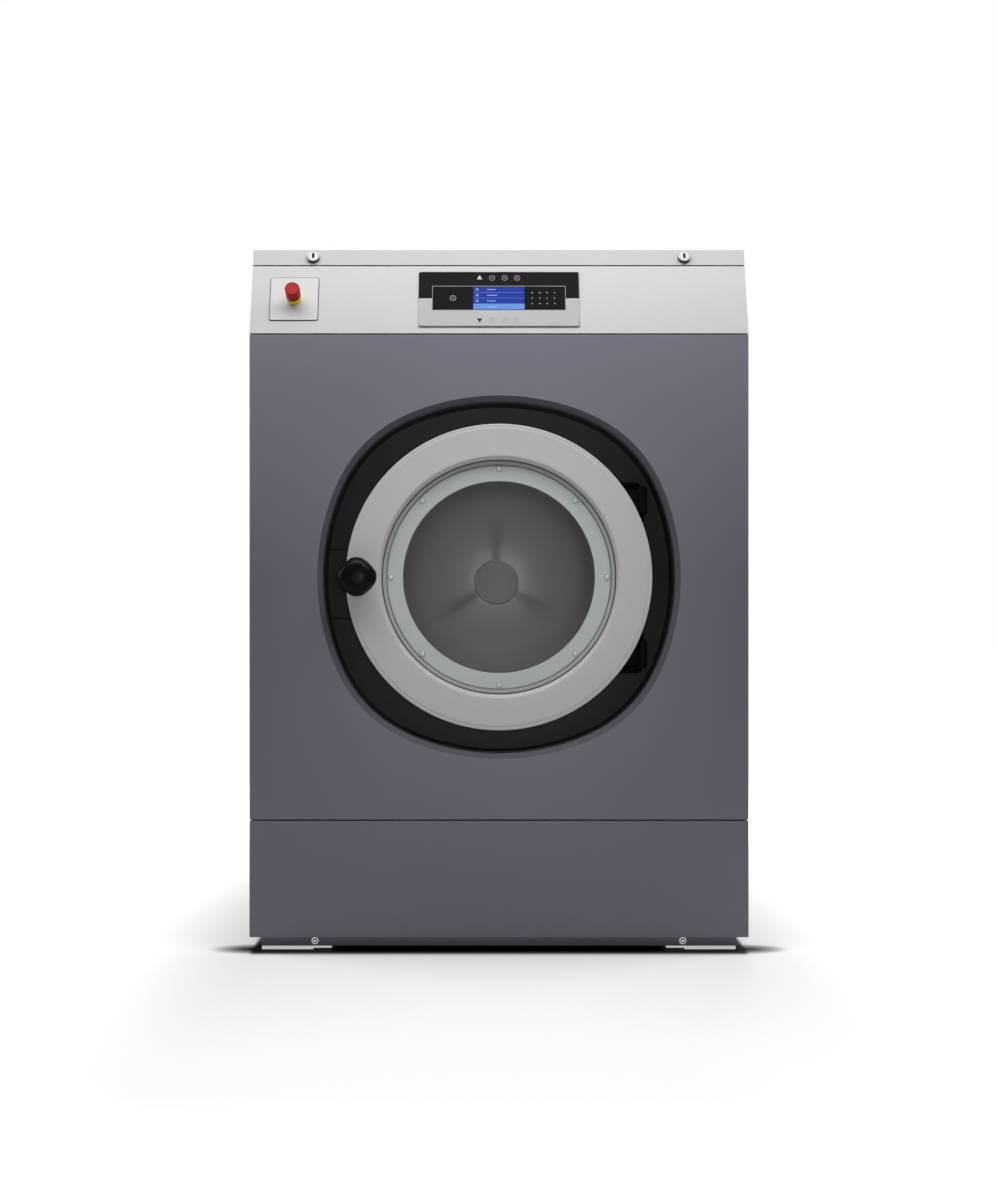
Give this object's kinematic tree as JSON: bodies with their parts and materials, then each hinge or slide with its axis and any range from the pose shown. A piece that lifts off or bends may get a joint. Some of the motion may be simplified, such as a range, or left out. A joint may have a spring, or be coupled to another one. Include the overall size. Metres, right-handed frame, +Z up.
{
  "type": "commercial washing machine",
  "caption": "Front-loading floor-mounted washer-extractor with a round glass door on a hinge, a leaning control face, a hinged top cover and a belt-driven drum.",
  "frame": {"origin": "middle of the overall box's base, on the floor", "axes": "+Z up, -Y out of the door side, +X to the right as the user faces the machine"},
  "size_m": [0.97, 0.9688, 1.3855],
  "materials": {
    "grey_paint": "satin blue-grey powder coat",
    "side_paint": "satin blue-grey powder coat",
    "silver_paint": "fine light grey powder coat",
    "frame_paint": "dark primer",
    "motor_paint": "machine enamel",
    "zinc": "galvanised",
    "cast_ring": "satin silver coat",
    "stainless": "brushed stainless",
    "steel": "machined",
    "chrome": "plated",
    "cast_iron": "as cast, painted",
    "black_casting": "black coat",
    "black_moulding": "fine texture",
    "gloss_black": "gloss",
    "dark_window": "gloss membrane",
    "grey_plastic": "moulded",
    "red_plastic": "gloss",
    "yellow_plastic": "semi gloss",
    "clear_glass": "clear",
    "rubber": "matt"
  },
  "bodies": {
    "root": {"base_frame": "frame_paint", "front_plinth": "grey_paint", "foot_front_left": "zinc", "foot_front_right": "zinc", "foot_rear_left": "zinc", "foot_rear_right": "zinc", "side_panel_left": "side_paint", "side_panel_right": "side_paint", "rear_panel": "zinc", "front_panel": "grey_paint", "lower_front_panel": "grey_paint", "control_fascia": "silver_paint", "top_hinge_left": "zinc", "top_hinge_right": "zinc", "display_bezel": "gloss_black", "display_window": "dark_window", "estop_plate": "silver_paint", "estop_collar": "yellow_plastic", "door_surround": "black_moulding", "latch_block": "black_moulding", "hinge_bracket_upper": "black_casting", "hinge_bracket_lower": "black_casting", "door_gasket": "rubber", "tub_shell": "stainless", "tub_front": "stainless", "tub_cradle_front": "frame_paint", "tub_cradle_rear": "frame_paint", "bearing_housing": "cast_iron", "bearing_front": "steel", "bearing_rear": "steel", "drive_belt": "rubber", "motor_body": "motor_paint", "drain_valve": "grey_plastic", "water_inlet_valve": "grey_plastic", "mains_terminal_box": "grey_plastic", "dispenser_box": "grey_plastic"},
    "door": {"door_ring": "cast_ring", "glass_clamp_ring": "stainless", "door_glass": "clear_glass", "hinge_arm_upper": "black_casting", "hinge_arm_lower": "black_casting"},
    "door_latch": {"door_knob": "gloss_black", "latch_shaft": "steel"},
    "drum": {"drum_basket": "stainless", "drum_back": "stainless", "drum_hub_cap": "stainless", "drum_lifter_top": "stainless", "drum_lifter_left": "stainless", "drum_lifter_right": "stainless", "drum_shaft": "cast_iron", "driven_pulley": "cast_iron"},
    "motor_rotor": {"motor_pulley": "steel"},
    "cover": {"top_cover": "silver_paint", "lock_barrel_left": "chrome", "lock_barrel_right": "chrome"},
    "left_lock": {"lock_plug_left": "chrome"},
    "right_lock": {"lock_plug_right": "chrome"},
    "lid": {"dispenser_lid": "silver_paint"},
    "estop_button": {"estop_stem": "steel"},
    "estop_knob": {"estop_head": "red_plastic"}
  },
  "joints": [
    {"name": "door_swing", "type": "hinge", "parent": "root", "child": "door", "pos_m": [0.28001, -0.4169, 0.72845], "axis": [0, 0, 1], "range_deg": [0, 120]},
    {"name": "knob_turn", "type": "hinge", "parent": "door", "child": "door_latch", "pos_m": [-0.274, -0.4294, 0.72845], "axis": [0, -1, 0], "range_deg": [0, 90]},
    {"name": "drum_spin", "type": "hinge", "parent": "root", "child": "drum", "pos_m": [0, -0.4294, 0.72845], "axis": [0, 1, 0], "continuous": true},
    {"name": "motor_spin", "type": "hinge", "parent": "root", "child": "motor_rotor", "pos_m": [0.21, -0.4294, 0.1896], "axis": [0, 1, 0], "continuous": true},
    {"name": "cover_lift", "type": "hinge", "parent": "root", "child": "cover", "pos_m": [0, 0.4474, 1.3692], "axis": [-1, 0, 0], "range_deg": [0, 75]},
    {"name": "left_lock_turn", "type": "hinge", "parent": "cover", "child": "left_lock", "pos_m": [-0.366, -0.37341, 1.3612], "axis": [0, -0.9432, 0.3322], "range_deg": [0, 90]},
    {"name": "right_lock_turn", "type": "hinge", "parent": "cover", "child": "right_lock", "pos_m": [0.366, -0.37341, 1.3612], "axis": [0, -0.9432, 0.3322], "range_deg": [0, 90]},
    {"name": "lid_lift", "type": "hinge", "parent": "cover", "child": "lid", "pos_m": [0, -0.0834, 1.3815], "axis": [-1, 0, 0], "range_deg": [0, 100]},
    {"name": "estop_press", "type": "slide", "parent": "root", "child": "estop_button", "axis": [0, 0.9432, -0.3322], "range_m": [0, 0.004], "stiffness_N_per_m": 500, "springref_m": -0.004},
    {"name": "estop_release_twist", "type": "hinge", "parent": "estop_button", "child": "estop_knob", "pos_m": [-0.4005, -0.40449, 1.27294], "axis": [0, 0.9432, -0.3322], "range_deg": [0, 30], "stiffness_Nm_per_rad": 0.05}
  ],
  "couplings": [
    {"joint": "motor_spin", "follows": "drum_spin", "ratio": 5.1111}
  ]
}
